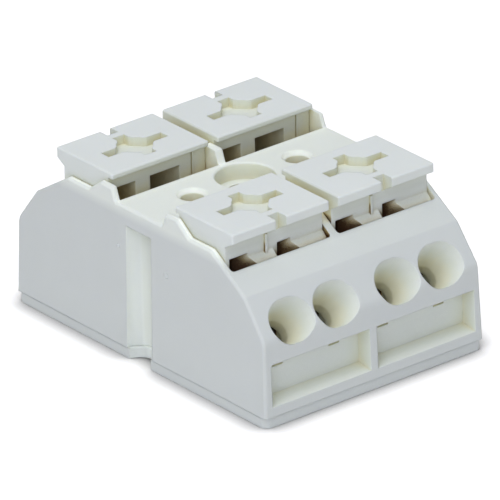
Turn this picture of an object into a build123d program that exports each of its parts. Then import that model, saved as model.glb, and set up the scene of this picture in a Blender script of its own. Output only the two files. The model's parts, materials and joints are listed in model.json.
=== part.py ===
from build123d import *
import math
import os

# Terminal strip with two poles and four wire entries per pole, for screwing to a chassis.
# Millimetres. +X runs along the poles, +Z is up, -Y is the front and +Y the back.
# The origin is the middle of the underside of the base cover.
# Sections are drawn once as (out, z), where out is the distance from the middle plane y = 0,
# and serve the back side as drawn and the front side mirrored.

# Poles and outer form of the housing
pole_count = 2
pole_pitch = 12.0
end_margin = 0.5
end_draft = 0.35
half_depth = 17.85
lower_draft = 0.25
knee_z = 8.3
crease_inset = 2.95
crease_z = 11.75
roof_top_inset = 7.65
deck_z = 14.7
hump_height = 1.25
hump_rise_run = 0.45
hump_top_run = 1.7
hump_fall_run = 1.7
knee_radius = 1.3
crease_radius = 0.5
hump_radius = 0.25
end_edge_chamfer = 0.22

# Walls of the housing
partition_wall = 0.8
slot_inset = 5.3
slot_length = 9.25
slot_corner_radius = 0.3
lip_thickness = 0.75
pocket_depth = 0.35
pocket_low_z = 9.9
lower_wall = 2.85
throat_low_z = 3.6

# Marking recess in each lower face, one per pole
recess_low_z = 1.95
recess_top_z = 6.0
recess_depth = 1.85
recess_floor_rise = 0.3
core_mark_size = 1.2
core_mark_depth = 0.3
core_mark_offsets = (-3.55, 2.85)

# Wire funnels
entry_inset = 1.0
entry_axis_deg = 42.0
entry_drop = 1.1
entry_rim_radius = 2.1
entry_rim_spread = 0.25
entry_bore_radius = 1.25
entry_cone_depth = 3.3
entry_cone_overlap = 0.1
entry_bore_end = 4.6
entry_relief_half = 1.45
entry_relief_end = 7.2

# Screw passages at the pole boundaries, and test holes
screw_hole_radius = 1.8
screw_head_radius = 2.75
screw_head_depth = 1.6
screw_rim_chamfer = 0.12
end_channel_top_z = 12.9
test_hole_radius = 1.1
test_dish_radius = 1.45
test_dish_depth = 0.4

# Base cover
cover_thickness = 1.0
cover_inset_x = 0.08
cover_inset_y = 0.1
cover_corner_radius = 0.7
cover_notch_radius = 1.5
upstand_height = 1.5
upstand_wall = 1.0
upstand_end_gap = 0.6
snap_ridge = 0.25
snap_ridge_z = 0.9
snap_root = 0.2
seat_clearance = 0.15

# Current bars
bar_thickness = 1.0
bar_web_z = 2.8
bar_neck_width = 4.0
bar_neck_reach = 1.2
bar_tongue_start = 5.3
bar_tongue_width = 2.6
bar_bend_radius = 1.4
bar_tip_beyond_leg = 0.35
bar_above_wire = 0.9
bar_side_clearance = 0.3

# Clamp springs
strip_thickness = 0.4
strip_spacing = 0.8
strip_window_width = 3.0
strip_leg_gap = 0.2
strip_seat_behind_leg = 0.55
strip_seat_length = 1.95
strip_bend_radius = 0.6
strip_lip = 0.5
strip_window_height = 2.7
strip_seat_gap = 0.02
strip_lip_gap = 0.05

# Push buttons
button_spacing = 1.03
plate_in_gap = 1.15
button_top_z = 16.75
plate_edge = 0.9
plate_rear_edge = 0.5
overhang_rise = 0.65
body_in_gap = 1.8
body_out_gap = 1.1
window_top_in_z = 15.0
window_top_out_z = 13.9
foot_width = 1.65
foot_offset = 0.9
foot_in_gap = 3.9
foot_low_z = 10.65
foot_root_z = 12.2
foot_toe_inset = 0.15
shoulder_gap = 0.45
shoulder_z = 12.9
barb_reach = 0.1
barb_height = 0.35
barb_gap = 0.1
side_leg_width = 0.45
side_leg_low_z = 12.3
seam_leg_width = 1.24
centre_rib_left = 0.55
centre_rib_right = 0.33
centre_rib_wall = 1.0
first_fill_inset = 1.585
first_fill_end = -0.15
second_fill_start = 0.94
window_fill_slant = 1.5
window_fill_back = 1.1
window_fill_wall = 1.6
window_fill_low_z = 12.0
band_rib_offset = 0.98
band_rib_width = 0.3
band_rib_reach = 0.2
seam_inset = 1.525
seam_width = 0.15
seam_depth = 0.3
plate_corner_chamfer = 0.12
plate_top_chamfer = 0.12
body_step = 0.15

# Cross recess and notch in each button
cross_depth = 0.9
cross_round_radius = 1.65
cross_long_arm = 6.75
cross_long_width = 1.1
cross_short_arm = 4.75
cross_short_width = 1.3
cross_junction_chamfer = 0.25
cross_inward_shift = 0.3
notch_width = 1.2
notch_depth = 1.2

# How far cutters run past the surfaces they open, and when two lengths count as the same
overcut = 1.5
same_place = 0.01

housing_half_width = pole_count * pole_pitch / 2 + end_margin
pole_centres = [(i - (pole_count - 1) / 2) * pole_pitch for i in range(pole_count)]
pole_boundaries = [(i - pole_count / 2) * pole_pitch for i in range(pole_count + 1)]
entry_spacing = pole_pitch / 2 - entry_inset
entry_offsets = (-entry_spacing / 2, entry_spacing / 2)
strip_width = entry_spacing - strip_spacing
bar_plate_width = entry_spacing + strip_width
button_length = pole_pitch - button_spacing
cell_half_width = (pole_pitch - partition_wall) / 2
slot_out = half_depth - slot_inset
slot_in = slot_out - slot_length
lower_wall_in = half_depth - lower_wall
crease_out = half_depth - crease_inset
roof_top_out = half_depth - roof_top_inset
hump_foot_in = slot_in
hump_top_in = hump_foot_in + hump_rise_run
hump_top_out = hump_top_in + hump_top_run
hump_foot_out = hump_top_out + hump_fall_run
roof_slope = (deck_z - crease_z) / (crease_out - roof_top_out)
slot_lip_z = crease_z + (crease_out - slot_out) * roof_slope - lip_thickness

# The steep wire face runs from the knee up to the crease; its normal points out and up.
knee_out = half_depth - lower_draft
face_run = crease_out - knee_out
face_rise = crease_z - knee_z
face_length = math.hypot(face_run, face_rise)
face_middle = ((knee_out + crease_out) / 2, (knee_z + crease_z) / 2)

# The wire axis enters at entry_point and goes inward and down.
entry_angle = math.radians(entry_axis_deg)
entry_point = (
    face_middle[0] - entry_drop * face_run / face_length,
    face_middle[1] - entry_drop * face_rise / face_length,
)


def along_wire(depth, above):
    """The (out, z) point at a depth down the wire axis and a height above it."""
    out = entry_point[0] - depth * math.cos(entry_angle) - above * math.sin(entry_angle)
    z = entry_point[1] - depth * math.sin(entry_angle) + above * math.cos(entry_angle)
    return (out, z)


strip_leg_end = bar_above_wire - strip_lip_gap - strip_lip
strip_leg_run = entry_point[0] - strip_leg_end * math.sin(entry_angle) - (slot_out - strip_leg_gap)
strip_leg_depth = strip_leg_run / math.cos(entry_angle) + strip_thickness / 2
strip_seat_start = strip_leg_depth + strip_seat_behind_leg
strip_seat_end = strip_seat_start + strip_seat_length
bar_tip_depth = strip_leg_depth - bar_tip_beyond_leg
bar_neck_end = slot_in + bar_neck_reach
bar_tongue_root = slot_in + bar_tongue_start

# The plate of a button ends flush with the slot's outer edge.
button_in = slot_in + plate_in_gap
button_out = slot_out
body_in = slot_in + body_in_gap
body_out = slot_out - body_out_gap
foot_in = slot_in + foot_in_gap
shoulder_out = slot_out - shoulder_gap


def prism(points, one_x, other_x):
    """A solid with the (out, z) outline, between two x planes, on the back side."""
    outline = Plane.YZ.offset(min(one_x, other_x)) * make_face(Polyline(*points, close=True))
    return extrude(outline, amount=abs(other_x - one_x))


def block(low_x, high_x, low_y, high_y, low_z, high_z):
    """A plain block given by its limits."""
    middle = ((low_x + high_x) / 2, (low_y + high_y) / 2, (low_z + high_z) / 2)
    return Pos(*middle) * Box(high_x - low_x, high_y - low_y, high_z - low_z)


def upright(x, y, radius, low_z, high_z):
    """A vertical cylinder."""
    return Pos(x, y, (low_z + high_z) / 2) * Cylinder(radius, high_z - low_z)


def turned_to_front(solid):
    """The solid turned half round the upright axis, from the back to the front."""
    return Rot(0, 0, 180) * solid


def both_sides(solid):
    """The solid and its mirror image at the front."""
    return solid + mirror(solid, about=Plane.XZ)


def end_wedge(side):
    """What the draft takes off one end: nothing at the foot and end_draft at the deck."""
    top = deck_z + hump_height + overcut
    foot = side * housing_half_width
    lean = side * end_draft * top / deck_z
    wedge = Polyline((foot, 0), (foot - lean, top), (foot + side * overcut, top), close=True)
    return extrude(Plane.XZ * make_face(wedge), amount=half_depth + overcut, both=True)


def housing_shell():
    """The outer form: stepped end profile, with humps over the deck's edges and broken end edges."""
    hump_z = deck_z + hump_height
    half = [
        (half_depth, cover_thickness),
        (knee_out, knee_z),
        (crease_out, crease_z),
        (roof_top_out, deck_z),
        (hump_foot_out, deck_z),
        (hump_top_out, hump_z),
        (hump_top_in, hump_z),
        (hump_foot_in, deck_z),
    ]
    radii = [0, knee_radius, crease_radius, crease_radius, hump_radius, hump_radius, hump_radius, hump_radius]
    points = half + [(-out, z) for out, z in reversed(half)]
    outline = FilletPolyline(*points, radius=radii + radii[::-1], close=True)
    face = Plane.YZ.offset(-housing_half_width) * make_face(outline)
    shell = extrude(face, amount=2 * housing_half_width)
    for side in (-1, 1):
        shell -= end_wedge(side)
    ends = shell.faces().sort_by(Axis.X)
    edges = ends[0].edges() + ends[-1].edges()
    broken = [edge for edge in edges if edge.center().Z > cover_thickness + same_place]
    return chamfer(broken, end_edge_chamfer)


def button_slot(x):
    """The clear space for one button and its two clamps, down to the base cover."""
    pocket_out = slot_out + pocket_depth
    top = deck_z + hump_height + overcut
    section = [
        (slot_in, 0),
        (slot_in, slot_lip_z),
        (slot_out, slot_lip_z),
        (pocket_out, slot_lip_z),
        (pocket_out, pocket_low_z),
        (slot_out, pocket_low_z),
        (slot_out, throat_low_z),
        (lower_wall_in, throat_low_z),
        (lower_wall_in, 0),
    ]
    chamber = prism(section, x - cell_half_width, x + cell_half_width)
    mouth = block(x - cell_half_width, x + cell_half_width, slot_in, slot_out, slot_lip_z - overcut, top)
    corners = mouth.edges().filter_by(Axis.Z).group_by(Axis.Y)[-1]
    return chamber + fillet(corners, slot_corner_radius)


def above_deck(x):
    """What is cut away over the deck between two walls."""
    reach = slot_in + overcut
    top = deck_z + hump_height + overcut
    return block(x - cell_half_width, x + cell_half_width, -reach, reach, deck_z, top)


def wire_funnel(x):
    """Cutter for one wire entry: an oval mouth of two leaning cones, the bore and a square way on."""
    narrowing = (entry_rim_radius - entry_bore_radius) / entry_cone_depth
    mouth_radius = entry_rim_radius + narrowing * overcut
    end_radius = entry_bore_radius - narrowing * entry_cone_overlap
    length = overcut + entry_cone_depth + entry_cone_overlap
    cone = Pos(0, 0, length / 2 - overcut - entry_cone_depth) * Cone(mouth_radius, end_radius, length)
    lean = math.degrees(math.atan(entry_rim_spread / entry_cone_depth))
    cutter = Pos(0, 0, entry_cone_depth) * (Rot(0, lean, 0) * cone + Rot(0, -lean, 0) * cone)
    bore_start = entry_cone_depth - entry_cone_overlap
    bore_length = entry_bore_end - bore_start
    relief_length = entry_relief_end - entry_bore_end
    cutter += Pos(0, 0, bore_start + bore_length / 2) * Cylinder(entry_bore_radius, bore_length)
    relief = Box(2 * entry_relief_half, 2 * entry_relief_half, relief_length)
    cutter += Pos(0, 0, entry_bore_end + relief_length / 2) * relief
    inward = Vector(0, -math.cos(entry_angle), -math.sin(entry_angle))
    return Plane(origin=(x, *entry_point), x_dir=(1, 0, 0), z_dir=inward) * cutter


def marking_recess(x):
    """Cutter for the shallow recess for a marker, with its sloped floor."""
    half = pole_pitch / 2 - partition_wall / 2
    back = half_depth - recess_depth
    section = [
        (half_depth + overcut, recess_low_z),
        (half_depth, recess_low_z),
        (back, recess_low_z + recess_floor_rise),
        (back, recess_top_z),
        (half_depth + overcut, recess_top_z),
    ]
    cutter = prism(section, x - half, x + half)
    for offset in core_mark_offsets:
        middle = x + offset
        cutter += block(
            middle - core_mark_size / 2,
            middle + core_mark_size / 2,
            back - core_mark_depth,
            back + overcut,
            recess_top_z - core_mark_size,
            recess_top_z,
        )
    return cutter


def snap_section(reach, spare):
    """Outline of the snap ridge on the cover, or of its groove when spare is more than nothing."""
    middle = cover_thickness + snap_ridge_z
    half = snap_ridge + spare
    base = lower_wall_in - seat_clearance - snap_root
    tip = half / 3
    return [(base, middle - half), (reach, middle - tip), (reach, middle + tip), (base, middle + half)]


def snap_reach():
    """How far out the snap ridge stands."""
    return lower_wall_in + snap_ridge - seat_clearance


def make_housing():
    """The moulded body."""
    body = housing_shell()
    passage_half = bar_neck_width / 2 + bar_side_clearance
    passage_top = bar_web_z + bar_thickness + seat_clearance
    for x in pole_centres:
        body -= both_sides(button_slot(x))
        body -= above_deck(x)
        passage_reach = slot_in + overcut
        body -= block(x - passage_half, x + passage_half, -passage_reach, passage_reach, 0, passage_top)
        body -= upright(x, 0, test_hole_radius, passage_top - overcut, deck_z + overcut)
        dish = Cone(test_hole_radius, test_dish_radius, test_dish_depth)
        body -= Pos(x, 0, deck_z - test_dish_depth / 2) * dish
        body -= both_sides(marking_recess(x))
        half = cell_half_width - upstand_end_gap + seat_clearance
        groove = snap_section(snap_reach() + seat_clearance, seat_clearance)
        body -= both_sides(prism(groove, x - half, x + half))
        for offset in entry_offsets:
            body -= both_sides(wire_funnel(x + offset))
    for x in pole_boundaries[1:-1]:
        body -= upright(x, 0, screw_hole_radius, 0, deck_z + overcut)
        body -= upright(x, 0, screw_head_radius, deck_z - screw_head_depth, deck_z + hump_height + overcut)
        rim = Cone(screw_head_radius, screw_head_radius + screw_rim_chamfer, screw_rim_chamfer)
        body -= Pos(x, 0, deck_z - screw_rim_chamfer / 2) * rim
    for side in (-1, 1):
        body -= upright(side * housing_half_width, 0, screw_hole_radius, 0, end_channel_top_z)
    return body


def make_base_cover():
    """The closing plate, with upstands that snap into the housing and rests for the bars."""
    half_x = housing_half_width - cover_inset_x
    half_y = half_depth - cover_inset_y
    plate = block(-half_x, half_x, -half_y, half_y, 0, cover_thickness)
    plate = fillet(plate.edges().filter_by(Axis.Z), cover_corner_radius)
    upstand_out = lower_wall_in - seat_clearance
    upstand_in = upstand_out - upstand_wall
    upstand_top = cover_thickness + upstand_height
    rest_end = bar_neck_end + upstand_wall
    rest_half = bar_plate_width / 2 - bar_side_clearance
    half = cell_half_width - upstand_end_gap
    for x in pole_centres:
        wall = block(x - half, x + half, upstand_in, upstand_out, cover_thickness, upstand_top)
        ridge = prism(snap_section(snap_reach(), 0), x - half, x + half)
        rest = block(x - rest_half, x + rest_half, bar_neck_end, rest_end, cover_thickness, bar_web_z)
        plate += both_sides(wall + ridge + rest)
    for x in pole_boundaries[1:-1]:
        plate -= upright(x, 0, screw_hole_radius, -overcut, cover_thickness + overcut)
    for side in (-1, 1):
        end_x = side * housing_half_width
        plate -= upright(end_x, 0, cover_notch_radius, -overcut, cover_thickness + overcut)
    return plate


def make_current_bar(x):
    """One stamped and bent bar: a neck under the deck and a pair of tongues at each side."""
    above = bar_above_wire + bar_thickness / 2
    tip = along_wire(bar_tip_depth, above)
    web_z = bar_web_z + bar_thickness / 2
    root = along_wire((tip[1] - web_z) / math.sin(entry_angle) + bar_tip_depth, above)
    path = FilletPolyline((0, web_z), root, tip, radius=bar_bend_radius)
    strip = extrude(Plane.YZ * trace(path, line_width=bar_thickness), amount=bar_plate_width / 2, both=True)
    half_neck = bar_neck_width / 2
    plan = block(-half_neck, half_neck, -overcut, bar_neck_end + overcut, 0, deck_z)
    plan += block(-bar_plate_width / 2, bar_plate_width / 2, bar_neck_end, bar_tongue_root, 0, deck_z)
    for offset in entry_offsets:
        low = offset - bar_tongue_width / 2
        plan += block(low, low + bar_tongue_width, bar_tongue_root - overcut, half_depth, 0, deck_z)
    return Pos(x, 0, 0) * both_sides(strip & plan)


def make_clamp_spring():
    """One cage spring: seated on the tongue, looped under the button, with a window round the tongue."""
    seat = bar_above_wire + bar_thickness + strip_seat_gap + strip_thickness / 2
    start = along_wire(strip_seat_start, seat)
    loop_start = along_wire(strip_seat_end, seat)
    arm_z = foot_low_z - seat_clearance / 2 - strip_thickness / 2
    loop_radius = (arm_z - loop_start[1]) / (1 + math.cos(entry_angle))
    centre = along_wire(strip_seat_end, seat + loop_radius)
    corner_above = (arm_z - along_wire(strip_leg_depth, 0)[1]) / math.cos(entry_angle)
    corner = along_wire(strip_leg_depth, corner_above)
    window_low = bar_above_wire - strip_lip_gap
    leg_end = along_wire(strip_leg_depth, strip_leg_end)
    turn = -(270 - (90 - entry_axis_deg))
    path = Line(start, loop_start)
    path += CenterArc(centre, loop_radius, -(90 - entry_axis_deg), turn)
    path += FilletPolyline((centre[0], arm_z), corner, leg_end, radius=strip_bend_radius)
    strip = extrude(Plane.YZ * trace(path, line_width=strip_thickness), amount=strip_width / 2, both=True)
    corners = [
        along_wire(strip_leg_depth - strip_thickness, window_low),
        along_wire(strip_leg_depth + strip_thickness, window_low),
        along_wire(strip_leg_depth + strip_thickness, window_low + strip_window_height),
        along_wire(strip_leg_depth - strip_thickness, window_low + strip_window_height),
    ]
    return strip - prism(corners, -strip_window_width / 2, strip_window_width / 2)


def window_fill(start_x, end_x, top_z):
    """The front wall of a foot, which closes most of a window and runs back towards its start."""
    wall_in = body_out - window_fill_wall
    section = [
        (wall_in, top_z),
        (body_out, top_z),
        (body_out, shoulder_z + shoulder_out - body_out),
        (shoulder_out, shoulder_z),
        (shoulder_out, window_fill_low_z),
        (wall_in, window_fill_low_z),
    ]
    slant_x = start_x + math.copysign(window_fill_slant, end_x - start_x)
    back = body_out - window_fill_back
    corners = [(start_x, back), (slant_x, shoulder_out), (slant_x, slot_out), (start_x, slot_out)]
    taken_off = extrude(make_face(Polyline(*corners, close=True)), amount=shoulder_z + shoulder_out)
    return prism(section, start_x, end_x) - taken_off


def make_push_button(hand):
    """One button: a plate with a cross recess, a body with windows, and two feet with barbs.

    hand is 1 where the solid leg stands at the high x end, and -1 where it stands at the low one.
    """
    half = button_length / 2
    under_z = button_top_z - plate_edge
    rear_z = button_top_z - plate_rear_edge
    neck_z = under_z - overhang_rise
    plate_section = [
        (button_in, rear_z),
        (button_in, button_top_z),
        (button_out, button_top_z),
        (button_out, under_z),
        (body_out, neck_z),
        (body_out, neck_z - body_step),
        (body_in, neck_z - body_step),
        (body_in, rear_z),
    ]
    plate = prism(plate_section, -half, half)
    upright_edges = plate.edges().filter_by(Axis.Z)
    corners = [edge for edge in upright_edges if abs(edge.center().Y - button_out) < same_place]
    corners += [edge for edge in upright_edges if abs(edge.center().Y - button_in) < same_place]
    plate = chamfer(corners, plate_corner_chamfer)
    plate = chamfer(plate.faces().sort_by(Axis.Z)[-1].edges(), plate_top_chamfer)

    body_top = neck_z
    skirt_section = [
        (body_in, window_top_in_z),
        (body_in, body_top),
        (body_out, body_top),
        (body_out, window_top_out_z),
    ]
    button = plate + prism(skirt_section, -half, half)

    barb_z = slot_lip_z - barb_gap
    barb_out = slot_out + barb_reach
    foot_section = [
        (body_in, body_top),
        (body_out, body_top),
        (body_out, shoulder_z + shoulder_out - body_out),
        (shoulder_out, shoulder_z),
        (shoulder_out, barb_z),
        (barb_out, barb_z),
        (barb_out, barb_z - barb_height),
        (shoulder_out - foot_toe_inset, foot_low_z),
        (foot_in, foot_low_z),
        (body_in, foot_root_z),
    ]
    for offset in entry_offsets:
        middle = offset + hand * foot_offset
        button += prism(foot_section, middle - foot_width / 2, middle + foot_width / 2)

    leg_section = [
        (body_in, body_top),
        (body_out, body_top),
        (body_out, side_leg_low_z),
        (body_in, side_leg_low_z),
    ]
    button += prism(leg_section, -hand * half, -hand * (half - side_leg_width))
    button += prism(leg_section, hand * half, hand * (half - seam_leg_width))
    rib_section = [
        (body_out - centre_rib_wall, side_leg_low_z),
        (body_out, side_leg_low_z),
        (body_out, body_top),
        (body_out - centre_rib_wall, body_top),
    ]
    button += prism(rib_section, -hand * centre_rib_left, hand * centre_rib_right)
    button += window_fill(-hand * (half - first_fill_inset), hand * first_fill_end, body_top)
    button += window_fill(hand * second_fill_start, hand * half, body_top)
    band_rib = [
        (body_out - centre_rib_wall, window_fill_low_z),
        (body_out + band_rib_reach, window_fill_low_z),
        (body_out + band_rib_reach, body_top),
        (body_out - centre_rib_wall, body_top),
    ]
    rib_x = -hand * band_rib_offset
    button += prism(band_rib, rib_x - band_rib_width / 2, rib_x + band_rib_width / 2)
    seam_bottom = body_in + seam_depth
    seam_mouth = body_in - overcut
    seam = [(seam_mouth, foot_low_z), (seam_bottom, foot_low_z), (seam_bottom, rear_z), (seam_mouth, rear_z)]
    seam_x = hand * (half - seam_inset)
    button -= prism(seam, seam_x - seam_width / 2, seam_x + seam_width / 2)

    cross = Cylinder(cross_round_radius, 2 * cross_depth)
    cross += Box(cross_long_arm, cross_long_width, 2 * cross_depth)
    cross += Box(cross_short_width, cross_short_arm, 2 * cross_depth)
    upright_edges = cross.edges().filter_by(Axis.Z)
    reaches = [math.hypot(edge.center().X, edge.center().Y) for edge in upright_edges]
    junctions = [edge for edge, r in zip(upright_edges, reaches) if abs(r - cross_round_radius) < same_place]
    cross = chamfer(junctions, cross_junction_chamfer)
    cross_middle_out = (button_in + button_out) / 2 - cross_inward_shift
    button -= Pos(0, cross_middle_out, button_top_z) * cross
    notch_in = button_out - notch_depth
    notch_top = button_top_z + overcut
    button -= block(-notch_width / 2, notch_width / 2, notch_in, button_out + overcut, neck_z, notch_top)
    return button


def save(solid, node):
    """Write one piece to its own STEP file."""
    solid.label = node
    export_step(solid, os.path.join("parts", node + ".step"))


os.makedirs("parts", exist_ok=True)
save(make_housing(), "housing")
save(make_base_cover(), "base_cover")
for number, pole_x in enumerate(pole_centres, start=1):
    pole = Pos(pole_x, 0, 0)
    save(make_current_bar(pole_x), f"current_bar_{number}")
    save(pole * make_push_button(1), f"push_button_back_{number}")
    save(pole * turned_to_front(make_push_button(-1)), f"push_button_front_{number}")
    for hand, entry_x in zip(("left", "right"), entry_offsets):
        entry = Pos(pole_x + entry_x, 0, 0)
        save(entry * make_clamp_spring(), f"clamp_spring_back_{number}_{hand}")
        save(entry * turned_to_front(make_clamp_spring()), f"clamp_spring_front_{number}_{hand}")
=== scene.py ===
import json
import math
import bpy
from mathutils import Matrix, Vector


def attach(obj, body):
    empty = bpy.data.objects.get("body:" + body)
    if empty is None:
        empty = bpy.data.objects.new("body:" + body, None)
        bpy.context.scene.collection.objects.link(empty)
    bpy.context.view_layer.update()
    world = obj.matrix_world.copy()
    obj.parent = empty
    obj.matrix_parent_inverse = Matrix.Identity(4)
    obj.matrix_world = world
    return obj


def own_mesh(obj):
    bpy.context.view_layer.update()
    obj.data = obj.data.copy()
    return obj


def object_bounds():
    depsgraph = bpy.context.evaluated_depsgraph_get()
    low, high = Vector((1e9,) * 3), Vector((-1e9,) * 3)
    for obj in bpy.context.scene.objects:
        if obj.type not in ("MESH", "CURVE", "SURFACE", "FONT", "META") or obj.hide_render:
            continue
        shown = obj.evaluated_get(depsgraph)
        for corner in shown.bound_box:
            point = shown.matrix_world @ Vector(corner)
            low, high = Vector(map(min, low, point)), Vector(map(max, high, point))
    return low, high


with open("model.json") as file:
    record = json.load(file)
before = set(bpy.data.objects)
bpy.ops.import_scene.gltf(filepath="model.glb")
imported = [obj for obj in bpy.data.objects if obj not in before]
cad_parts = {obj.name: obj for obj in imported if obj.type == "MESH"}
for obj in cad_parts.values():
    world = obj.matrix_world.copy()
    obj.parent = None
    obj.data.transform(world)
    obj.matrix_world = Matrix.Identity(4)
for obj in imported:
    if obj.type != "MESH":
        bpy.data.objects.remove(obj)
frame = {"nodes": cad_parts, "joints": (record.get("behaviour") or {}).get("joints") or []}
cad_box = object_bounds()
nodes = frame["nodes"]

# Camera, solved from the photograph. Angles are in radians, lengths in metres.
CAM_AZIMUTH = -0.667093
CAM_ELEVATION = 0.439802
CAM_ROLL = -0.0259929
CAM_TARGET = Vector((-0.0019756, -0.0029179, 0.009))
CAM_DISTANCE = 0.9
CAM_NEAR = 0.01
CAM_FAR = 10.0
CAM_FOCAL_PX = 10118.05
FRAME_PX = 500
SENSOR_MM = 36.0

# Light. The tent is a soft room, a little lighter above, behind and to the right of the object. Three
# softboxes stand high on the left, overhead, and low beside the camera: each with its name, place, power and
# colour.
TENT_LEVEL = (0.235, 0.24, 0.262)
TENT_LEAN = (0.3, 0.3, 0.3)
SOFTBOX_SIZE = 0.3
SOFTBOX_AIM = Vector((0, 0, 0.008))
KEY = ("key", (-0.22, -0.14, 0.5), 1.0, (0.99, 1.0, 1.07))
TOP = ("top", (0.0, 0.02, 0.5), 0.57, (0.97, 1.0, 1.08))
LOW = ("low", (-0.31, -0.33, 0.22), 0.66, (0.96, 1.0, 1.16))

# Floor: its size, its two tones for the light that it throws back, and the size of their patches.
FLOOR_SIZE = 4.0
FLOOR_TONES = ((0.80, 0.80, 0.80, 1), (0.82, 0.82, 0.82, 1))
FLOOR_PATCH = 0.05
# Its contact shadow: how far that reaches, its tint, and how light the floor is for a share of the
# surroundings that it sees, from two shares to two levels, beside the object and in its notches.
CONTACT_REACH = 0.0026
CONTACT_TINT = (1.0, 0.985, 0.95)
CONTACT_BESIDE = (0.228, 1.0, 0.0, 1.05)
CONTACT_UNDER = (0.3733, 0.7233, 0.0, 1.05)
CONTACT_SAMPLES = 16
FLOOR_GLOW = 0.35

# Plastic, as linear colour, from the deepest gaps through hollows to open faces: painted shade, dark and
# brown, in the deepest gaps, and painted light in the housing's middling hollows, which are lighter than its
# open faces. The first number of a row is the share of the surroundings that a point sees.
HOUSING_PAINTED_SHADING = ((0.0, (0.08, 0.035, 0.01)), (0.1, (0.56, 0.38, 0.11)), (0.2, (0.80, 0.68, 0.38)),
                 (0.28, (0.77, 0.79, 0.65)), (0.5, (0.79, 0.82, 0.73)), (0.6, (0.86, 0.89, 0.81)),
                 (0.7, (0.81, 0.84, 0.775)), (0.88, (0.70, 0.73, 0.67)), (0.97, (0.685, 0.71, 0.665)))
BUTTON_PAINTED_SHADING = ((0.0, (0.08, 0.035, 0.01)), (0.1, (0.56, 0.38, 0.11)), (0.2, (0.78, 0.69, 0.40)),
                (0.3, (0.91, 0.92, 0.70)), (0.5, (0.92, 0.95, 0.82)), (0.75, (0.86, 0.89, 0.79)),
                (0.97, (0.94, 0.975, 0.905)))
# How far a surface looks for what hides it, and the least share that is read outside the windows.
HOLLOW_REACH = 0.007
HOLLOW_LEAST = 0.25
HOLLOW_SAMPLES = 8
# The windows under the plates and the test holes get darker painted shade than other hollows. They lie below
# this height, within these distances of the middle along x and y, and outside this distance from the screw's
# axis. Each pair is where a change starts and where it ends.
WINDOW_TOP = (0.0140, 0.0146)
WINDOW_END = (0.0110, 0.0112)
WINDOW_SIDE = (0.0126, 0.0129)
SCREW_CLEAR = (0.0030, 0.0034)
# The outer windows get darker painted shade than the inner ones, from this distance along y. Each row says
# how a share of the surroundings is read there: from the first two values to the last two.
OUTER_WINDOW = (0.0096, 0.0104)
INNER_READ = (0.0, 0.3, 0.15, 0.3)
OUTER_READ = (0.3, 0.55, 0.0, 0.5)
# Below these heights only the piece itself counts as surroundings, so the floor adds no painted shade to the
# sides.
FLOOR_FREE = (0.0075, 0.0095)
# Above these heights the housing is lighter and the buttons are darker, as the photograph shows: painted
# light on the housing's deck and painted shade on the button plates.
PAINTED_TOP_RISE = (0.0135, 0.0145)
DECK_PAINTED_LIGHT = (1.24, 1.24, 1.19, 1)
PLATE_PAINTED_SHADE = (0.86, 0.86, 0.86, 1)
# How rough each plastic is, and how far its edges are softened.
HOUSING_ROUGHNESS = 0.5
HOUSING_EDGE = 0.0002
BUTTON_ROUGHNESS = 0.48
BUTTON_EDGE = 0.00015
EDGE_SAMPLES = 8
# Faint clouding, patches of more or less gloss, then a fine grain and slow waves as size, strength and depth.
CLOUD_SIZE = 0.006
CLOUD_MOST = 0.06
CLOUD_TINT = (0.55, 0.57, 0.52, 1)
PATCH_SIZE = 0.002
PATCH_SPREAD = 0.04
GRAIN = (0.00016, 0.16, 0.00003)
WAVES = (0.0035, 0.1, 0.0002)
# Gloss fades out in deep hollows, painted shade that dims their reflections: from these two shares of the
# surroundings to these two levels.
GLOSS_READ = (0.1, 0.5, 0.0, 0.4)
PLASTIC_IOR = 1.5
SCATTER_SHARE = 0.15
SCATTER_RADIUS = (1.0, 0.9, 0.6)
SCATTER_DEPTH = 0.0006

# Metals: a light and a dark linear colour, the roughness, and how the drawing lines are stretched along x, y
# and z.
# Both metals are darker and browner than bare metal: painted shade where they show in the windows under the
# plates.
COPPER = ((0.52, 0.34, 0.19, 1), (0.36, 0.22, 0.11, 1), 0.38, (1, 0.15, 0.15))
STEEL = ((0.46, 0.41, 0.33, 1), (0.32, 0.28, 0.22, 1), 0.3, (1, 0.1, 0.1))
STAIN_SIZE = 0.0012
LINE_SIZE = 0.00012
LINE_SPREAD = 0.08
LINE_STRENGTH = 0.25
LINE_DEPTH = 0.00001

# Noise seldom leaves the middle of its range, so it is read between two of its values.
NOISE_NARROW = (0.35, 0.65)
NOISE_WIDE = (0.3, 0.7)

# Small moulding pips on the left end: y, z and radius, placed from the photograph, how thick they are, with
# half of that sunk in, and how far outside the end the line starts that finds their place.
PIPS = ((-0.003873, 0.010053, 0.0003), (0.00296, 0.010579, 0.00022))
PIP_THICKNESS = 0.0002
PIP_MARGIN = 0.01


def make_camera():
    ca, sa = math.cos(CAM_AZIMUTH), math.sin(CAM_AZIMUTH)
    ce, se = math.cos(CAM_ELEVATION), math.sin(CAM_ELEVATION)
    back = Vector((sa * ce, -ca * ce, se))
    right = Vector((ca, sa, 0.0))
    up = back.cross(right)
    cr, sr = math.cos(CAM_ROLL), math.sin(CAM_ROLL)
    right, up = cr * right + sr * up, -sr * right + cr * up
    data = bpy.data.cameras.new("camera")
    data.sensor_width = SENSOR_MM
    data.lens = CAM_FOCAL_PX / FRAME_PX * SENSOR_MM
    data.clip_start = CAM_NEAR
    data.clip_end = CAM_FAR
    camera = bpy.data.objects.new("camera", data)
    turn = Matrix((right, up, back)).transposed().to_4x4()
    camera.matrix_world = Matrix.Translation(CAM_TARGET + CAM_DISTANCE * back) @ turn
    bpy.context.scene.collection.objects.link(camera)
    bpy.context.scene.camera = camera


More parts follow.
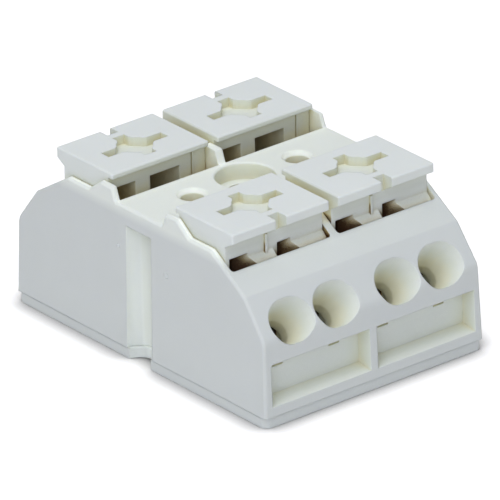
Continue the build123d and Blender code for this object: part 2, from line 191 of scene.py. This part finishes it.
class Graph:
    """Short ways to add nodes and links to one node tree."""

    def __init__(self, tree, output_kind, coordinate):
        self.tree = tree
        self.tree.nodes.clear()
        self.output = self.tree.nodes.new(output_kind)
        self.place = self.tree.nodes.new("ShaderNodeTexCoord").outputs[coordinate]

    def add(self, kind, inputs=None, **settings):
        node = self.tree.nodes.new(kind)
        for key, value in settings.items():
            setattr(node, key, value)
        for key, value in (inputs or {}).items():
            if isinstance(value, bpy.types.NodeSocket):
                self.tree.links.new(value, node.inputs[key])
            else:
                node.inputs[key].default_value = value
        return node

    def noise(self, size, detail, stretch=(1, 1, 1)):
        """Noise with features of about the given size in metres."""
        place = self.add("ShaderNodeMapping", {"Vector": self.place, "Scale": stretch})
        node = self.add("ShaderNodeTexNoise", {"Vector": place.outputs["Vector"], "Scale": 1 / size,
                                               "Detail": detail})
        return node.outputs["Fac"]

    def bump(self, height, strength, depth, normal):
        """The normal with a relief of the given depth in metres on it."""
        node = self.add("ShaderNodeBump", {"Height": height, "Strength": strength, "Distance": depth,
                                           "Normal": normal})
        return node.outputs["Normal"]

    def levels(self, value, low, high, to_low, to_high, clamp=True):
        """The value carried over from one range to another."""
        node = self.add("ShaderNodeMapRange", {"Value": value, "From Min": low, "From Max": high,
                                               "To Min": to_low, "To Max": to_high}, clamp=clamp)
        return node.outputs["Result"]

    def distance(self, value):
        """How far the value is from 0."""
        return self.add("ShaderNodeMath", {0: value}, operation="ABSOLUTE").outputs[0]

    def times(self, one, other):
        return self.add("ShaderNodeMath", {0: one, 1: other}, operation="MULTIPLY").outputs[0]

    def mix(self, share, one, other):
        """One where the share is 0, the other where it is 1."""
        node = self.add("ShaderNodeMix", data_type="RGBA")
        for key, value in (("Factor", share), ("A", one), ("B", other)):
            kind = "VALUE" if key == "Factor" else "RGBA"
            socket = [s for s in node.inputs if s.name == key and s.type == kind][0]
            if isinstance(value, bpy.types.NodeSocket):
                self.tree.links.new(value, socket)
            else:
                socket.default_value = value
        return [s for s in node.outputs if s.type == "RGBA"][0]

    def seen_directly(self):
        """One for the camera's own rays and their mirror and glass copies, nought for light that bounces."""
        path = self.add("ShaderNodeLightPath")
        seen = self.add("ShaderNodeMath", {0: path.outputs["Is Camera Ray"],
                                           1: path.outputs["Is Glossy Ray"]}, operation="MAXIMUM")
        seen = self.add("ShaderNodeMath", {0: seen.outputs[0], 1: path.outputs["Is Transmission Ray"]},
                        operation="MAXIMUM")
        return seen.outputs[0]

    def finish(self, shader):
        self.tree.links.new(shader.outputs[0], self.output.inputs["Surface"])


def new_material(name):
    material = bpy.data.materials.new(name)
    material.use_nodes = True
    return material, Graph(material.node_tree, "ShaderNodeOutputMaterial", "Object")


def window_shade_mask(g, place):
    """One inside the windows and the test holes, where the painted shade is made deeper, nought elsewhere."""
    window = g.levels(place["Z"], *WINDOW_TOP, 1.0, 0.0)
    for along, limits in (("X", WINDOW_END), ("Y", WINDOW_SIDE)):
        window = g.times(window, g.levels(g.distance(place[along]), *limits, 1.0, 0.0))
    flat = g.add("ShaderNodeCombineXYZ", {"X": place["X"], "Y": place["Y"]}).outputs[0]
    off_axis = g.add("ShaderNodeVectorMath", {0: flat}, operation="LENGTH").outputs["Value"]
    return g.times(window, g.levels(off_axis, *SCREW_CLEAR, 0.0, 1.0))


def share_seen(g, place):
    """The share of its surroundings that a point sees, read deeper in the windows so that their painted shade
    is darker.
    """
    own = g.add("ShaderNodeAmbientOcclusion", {"Distance": HOLLOW_REACH}, samples=HOLLOW_SAMPLES,
                only_local=True)
    every = g.add("ShaderNodeAmbientOcclusion", {"Distance": HOLLOW_REACH}, samples=HOLLOW_SAMPLES)
    seen = g.mix(g.levels(place["Z"], *FLOOR_FREE, 0.0, 1.0), own.outputs["AO"], every.outputs["AO"])
    shallow = g.add("ShaderNodeMath", {0: seen, 1: HOLLOW_LEAST}, operation="MAXIMUM").outputs[0]
    inner = g.levels(seen, *INNER_READ, clamp=False)
    outer = g.levels(seen, *OUTER_READ, clamp=False)
    deep = g.mix(g.levels(g.distance(place["Y"]), *OUTER_WINDOW, 0.0, 1.0), inner, outer)
    return g.mix(window_shade_mask(g, place), shallow, deep)


def plastic_colour(g, place, seen, painted_shading_stops, top_painting):
    """Painted shade, dark and warm, in deep gaps, painted light in the housing's middling hollows, painted
    light on the housing's top and painted shade on the buttons' top, and faint clouds.
    """
    ramp = g.add("ShaderNodeValToRGB", {"Fac": seen})
    stops = ramp.color_ramp.elements
    while len(stops) < len(painted_shading_stops):
        stops.new(1.0)
    for stop, (share, tint) in zip(stops, painted_shading_stops):
        stop.position = share
        stop.color = (*tint, 1)
    # Painted light on the housing's top, painted shade on the buttons' top.
    gain = g.mix(g.levels(place["Z"], *PAINTED_TOP_RISE, 0.0, 1.0), (1, 1, 1, 1), top_painting)
    tint = g.add("ShaderNodeVectorMath", {0: ramp.outputs["Color"], 1: gain}, operation="MULTIPLY")
    clouds = g.levels(g.noise(CLOUD_SIZE, 3.0), *NOISE_NARROW, 0.0, CLOUD_MOST)
    return g.mix(clouds, tint.outputs["Vector"], CLOUD_TINT)


def plastic_normal(g, edge):
    """Softened edges under a fine grain and slow waves."""
    normal = g.add("ShaderNodeBevel", {"Radius": edge}, samples=EDGE_SAMPLES).outputs["Normal"]
    for (size, strength, depth), detail in ((GRAIN, 2.0), (WAVES, 1.0)):
        normal = g.bump(g.noise(size, detail), strength, depth, normal)
    return normal


def moulded_plastic(name, painted_shading_stops, top_painting, roughness, edge):
    """White moulded polyamide, with painted shade and painted light in its hollows and on its top."""
    material, g = new_material(name)
    place = g.add("ShaderNodeSeparateXYZ", {0: g.place}).outputs
    seen = share_seen(g, place)
    patches = g.noise(PATCH_SIZE, 3.0)
    rough = g.levels(patches, *NOISE_WIDE, roughness - PATCH_SPREAD, roughness + PATCH_SPREAD)
    g.finish(g.add("ShaderNodeBsdfPrincipled", {
        "Base Color": plastic_colour(g, place, seen, painted_shading_stops, top_painting), "Roughness": rough,
        "Normal": plastic_normal(g, edge), "IOR": PLASTIC_IOR,
        "Specular IOR Level": g.levels(seen, *GLOSS_READ), "Subsurface Weight": SCATTER_SHARE,
        "Subsurface Radius": SCATTER_RADIUS, "Subsurface Scale": SCATTER_DEPTH}))
    return material


def metal(name, light, dark, roughness, stretch):
    """Rolled metal strip: fine drawing lines and faint cloudy staining."""
    material, g = new_material(name)
    stain = g.levels(g.noise(STAIN_SIZE, 4.0), *NOISE_NARROW, 0.0, 1.0)
    lines = g.noise(LINE_SIZE, 2.0, stretch)
    colour = g.mix(stain, dark, light)
    rough = g.levels(lines, *NOISE_WIDE, roughness - LINE_SPREAD, roughness + LINE_SPREAD)
    bump = g.add("ShaderNodeBump", {"Height": lines, "Strength": LINE_STRENGTH, "Distance": LINE_DEPTH})
    shader = g.add("ShaderNodeBsdfPrincipled", {"Base Color": colour, "Roughness": rough, "Metallic": 1.0,
                                                "Normal": bump.outputs["Normal"]})
    g.finish(shader)
    return material


def floor_material():
    """Pale floor that looks white in the picture, except close to the object, where its shadow lies."""
    material, g = new_material("floor_white")
    patches = g.levels(g.noise(FLOOR_PATCH, 3.0), *NOISE_WIDE, 0.0, 1.0)
    plain = g.add("ShaderNodeBsdfDiffuse", {"Color": g.mix(patches, *FLOOR_TONES)})
    shade = g.add("ShaderNodeAmbientOcclusion", {"Distance": CONTACT_REACH}, samples=CONTACT_SAMPLES)
    beside = g.levels(shade.outputs["AO"], *CONTACT_BESIDE)
    under = g.levels(shade.outputs["AO"], *CONTACT_UNDER)
    level = g.add("ShaderNodeMath", {0: beside, 1: under}, operation="MINIMUM").outputs[0]
    grey = g.add("ShaderNodeVectorMath", {0: CONTACT_TINT, "Scale": level}, operation="SCALE")
    bright = g.add("ShaderNodeBsdfDiffuse", {"Color": grey.outputs["Vector"]})
    glow = g.add("ShaderNodeEmission", {"Color": grey.outputs["Vector"], "Strength": FLOOR_GLOW})
    white = g.add("ShaderNodeAddShader", {0: bright.outputs[0], 1: glow.outputs[0]})
    g.finish(g.add("ShaderNodeMixShader", {0: g.seen_directly(), 1: plain.outputs[0], 2: white.outputs[0]}))
    return material


def make_floor():
    bpy.ops.mesh.primitive_plane_add(size=FLOOR_SIZE, location=(0, 0, 0))
    floor = bpy.context.object
    floor.name = "floor"
    floor.data.materials.append(floor_material())


def make_world():
    """The tent lights the object, and the camera itself sees plain white behind it."""
    world = bpy.data.worlds.new("studio")
    world.use_nodes = True
    bpy.context.scene.world = world
    g = Graph(world.node_tree, "ShaderNodeOutputWorld", "Generated")
    lean = g.add("ShaderNodeVectorMath", {0: g.place, 1: TENT_LEAN}, operation="DOT_PRODUCT")
    level = g.add("ShaderNodeMath", {0: lean.outputs["Value"], 1: 1.0}, operation="ADD")
    level = g.add("ShaderNodeMath", {0: level.outputs[0], 1: 0.0}, operation="MAXIMUM")
    tent = g.add("ShaderNodeBackground", {"Color": (*TENT_LEVEL, 1), "Strength": level.outputs[0]})
    white = g.add("ShaderNodeBackground", {"Color": (1, 1, 1, 1), "Strength": 1.0})
    path = g.add("ShaderNodeLightPath")
    g.finish(g.add("ShaderNodeMixShader", {0: path.outputs["Is Camera Ray"], 1: tent.outputs[0],
                                           2: white.outputs[0]}))


def softbox(name, place, power, colour):
    data = bpy.data.lights.new(name, "AREA")
    data.shape = "SQUARE"
    data.size = SOFTBOX_SIZE
    data.energy = power
    data.color = colour
    lamp = bpy.data.objects.new(name, data)
    lamp.location = place
    aim = SOFTBOX_AIM - Vector(place)
    lamp.rotation_euler = aim.to_track_quat("-Z", "Y").to_euler()
    bpy.context.scene.collection.objects.link(lamp)


def dress():
    """Each CAD piece gets its material by the start of its name."""
    housing = moulded_plastic("housing_white", HOUSING_PAINTED_SHADING, DECK_PAINTED_LIGHT, HOUSING_ROUGHNESS, HOUSING_EDGE)
    finishes = {
        "housing": housing, "base_cover": housing,
        "push_button": moulded_plastic("button_white", BUTTON_PAINTED_SHADING, PLATE_PAINTED_SHADE, BUTTON_ROUGHNESS,
                                       BUTTON_EDGE),
        "current_bar": metal("tinned_copper", *COPPER),
        "clamp_spring": metal("spring_strip", *STEEL),
    }
    for name, node in nodes.items():
        finish = next(finishes[kind] for kind in finishes if name.startswith(kind))
        for material_slot in node.material_slots:
            material_slot.material = finish


def make_pips():
    """Flat domes, set where a line along x meets the housing's end."""
    housing = nodes["housing"]
    turn = housing.matrix_world.inverted()
    for count, (y, z, radius) in enumerate(PIPS, 1):
        start = turn @ Vector((cad_box[0][0] - PIP_MARGIN, y, z))
        place = housing.ray_cast(start, Vector((1, 0, 0)))[1]
        bpy.ops.mesh.primitive_uv_sphere_add(segments=24, ring_count=12, radius=radius,
                                             location=housing.matrix_world @ place)
        pip = bpy.context.object
        pip.name = f"moulding_pip_{count}"
        pip.scale = (PIP_THICKNESS / (2 * radius), 1, 1)
        for polygon in pip.data.polygons:
            polygon.use_smooth = True
        pip.data.materials.append(housing.material_slots[0].material)
        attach(pip, "strip")


def bend_springs():
    """Each clamp spring that a joint names gets its own copy of its mesh."""
    for joint in frame["joints"]:
        for spring in joint["deforming_nodes"]:
            node = nodes[spring["node"]]
            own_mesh(node)


make_camera()
make_world()
make_floor()
for lamp in (KEY, TOP, LOW):
    softbox(*lamp)
dress()
make_pips()
bend_springs()
bpy.context.scene.view_settings.view_transform = "Standard"
